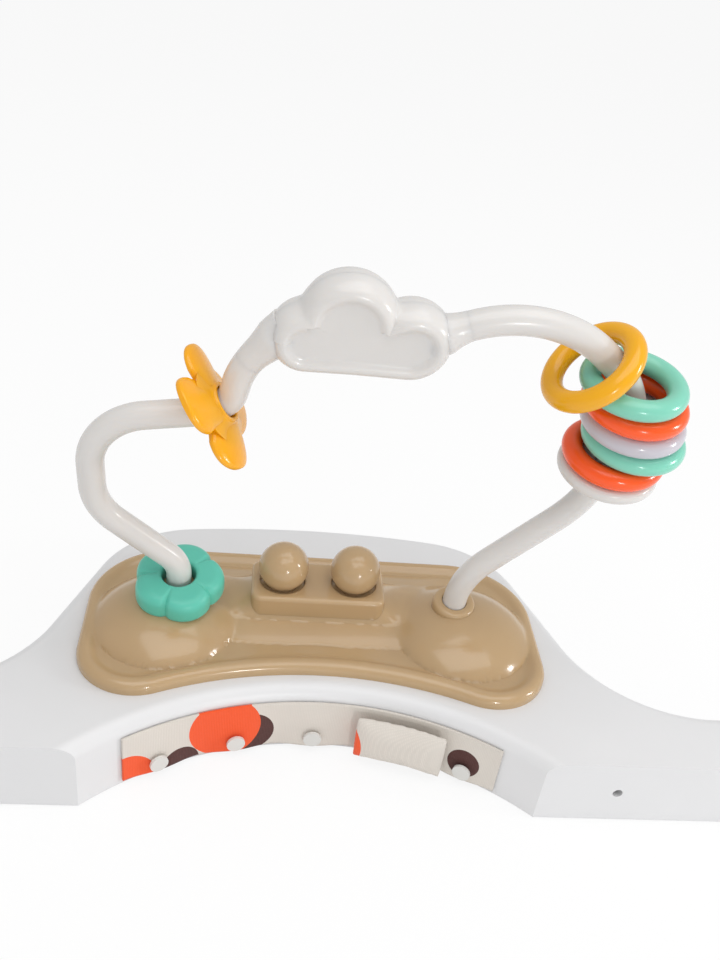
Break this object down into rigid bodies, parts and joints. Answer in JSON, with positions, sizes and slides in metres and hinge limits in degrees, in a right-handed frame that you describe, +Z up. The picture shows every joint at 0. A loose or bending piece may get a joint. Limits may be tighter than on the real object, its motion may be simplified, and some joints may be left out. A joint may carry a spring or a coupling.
{
  "type": "baby jumper front toy tray",
  "caption": "Front tray section of a baby jumper with a push-button console and a bent tube arch carrying a cloud, a spinner, a flower and loose rings.",
  "frame": {"origin": "middle of the tray's footprint, on the plane its lower edge stands on", "axes": "+X across the tray to the child's right as seen from the seat, +Y away from the child, +Z up"},
  "size_m": [0.55, 0.2, 0.2764],
  "materials": {
    "tray_white": "smooth glossy white moulding",
    "console_tan": "glossy tan moulding",
    "tube_white": "milky white moulding",
    "inner_white": "plain moulding",
    "bellows": "soft moulded bellows",
    "reed_grey": "plain moulding",
    "steel": "zinc plated",
    "spinner_yellow": "glossy yellow orange moulding",
    "flower_teal": "soft satin teal moulding",
    "ring_yellow": "glossy",
    "ring_teal": "glossy",
    "ring_orange": "glossy",
    "ring_grey": "glossy",
    "fabric": "printed woven seat fabric"
  },
  "bodies": {
    "tray": {"tray_shell": "tray_white", "console_shell": "console_tan", "console_screws": "steel", "carrier_plate": "inner_white", "carrier_screws": "steel", "squeaker_left": "bellows", "squeaker_right": "bellows", "squeaker_reeds": "reed_grey", "arch_tube_left": "tube_white", "arch_tube_right": "tube_white", "tube_end_plugs": "reed_grey", "tube_end_screws": "steel", "cloud_front": "tube_white", "cloud_back": "tube_white", "cloud_screws": "steel", "stop_disc": "tube_white", "stop_pin": "steel", "seat_front_panel": "fabric", "seat_flap": "fabric", "panel_studs": "inner_white"},
    "spinner_body": {"spinner": "spinner_yellow"},
    "flower_collar_body": {"flower_collar": "flower_teal"},
    "ring_yellow_body": {"ring_yellow": "ring_yellow"},
    "ring_orange_lower_body": {"ring_orange_lower": "ring_orange"},
    "ring_teal_lower_body": {"ring_teal_lower": "ring_teal"},
    "ring_grey_body": {"ring_grey": "ring_grey"},
    "ring_orange_upper_body": {"ring_orange_upper": "ring_orange"},
    "ring_teal_upper_body": {"ring_teal_upper": "ring_teal"},
    "button_left_body": {"button_left": "console_tan"},
    "button_right_body": {"button_right": "console_tan"}
  },
  "joints": [
    {"name": "spinner_spin", "type": "hinge", "parent": "tray", "child": "spinner_body", "pos_m": [-0.06575, -0.02386, 0.19433], "axis": [0.829, -0.0971, 0.5507], "continuous": true},
    {"name": "flower_spin", "type": "hinge", "parent": "tray", "child": "flower_collar_body", "pos_m": [-0.08, 0.003, 0.042], "axis": [0, -0.1736, 0.9848], "continuous": true},
    {"name": "ring_orange_lower_spin", "type": "hinge", "parent": "tray", "child": "ring_orange_lower_body", "pos_m": [0.13854, -0.02237, 0.1859], "axis": [0, -0.1736, 0.9848], "continuous": true},
    {"name": "ring_teal_lower_spin", "type": "hinge", "parent": "tray", "child": "ring_teal_lower_body", "pos_m": [0.14546, -0.02427, 0.19664], "axis": [0, -0.1736, 0.9848], "continuous": true},
    {"name": "ring_grey_spin", "type": "hinge", "parent": "tray", "child": "ring_grey_body", "pos_m": [0.14166, -0.02616, 0.20737], "axis": [0, -0.1736, 0.9848], "continuous": true},
    {"name": "ring_orange_upper_spin", "type": "hinge", "parent": "tray", "child": "ring_orange_upper_body", "pos_m": [0.13911, -0.02805, 0.21811], "axis": [0, -0.1736, 0.9848], "continuous": true},
    {"name": "ring_teal_upper_spin", "type": "hinge", "parent": "tray", "child": "ring_teal_upper_body", "pos_m": [0.135, -0.02994, 0.22884], "axis": [0, -0.1736, 0.9848], "continuous": true},
    {"name": "yellow_ring_slide_round_roof", "type": "hinge", "parent": "tray", "child": "ring_yellow_body", "pos_m": [0.07545, -0.02393, 0.19474], "axis": [0, -0.9848, -0.1736], "range_deg": [0, 63]},
    {"name": "button_left_push", "type": "slide", "parent": "tray", "child": "button_left_body", "axis": [0, 0, -1], "range_m": [0, 0.003], "stiffness_N_per_m": 300, "deforming": ["squeaker_left"]},
    {"name": "button_right_push", "type": "slide", "parent": "tray", "child": "button_right_body", "axis": [0, 0, -1], "range_m": [0, 0.003], "stiffness_N_per_m": 300, "deforming": ["squeaker_right"]}
  ]
}
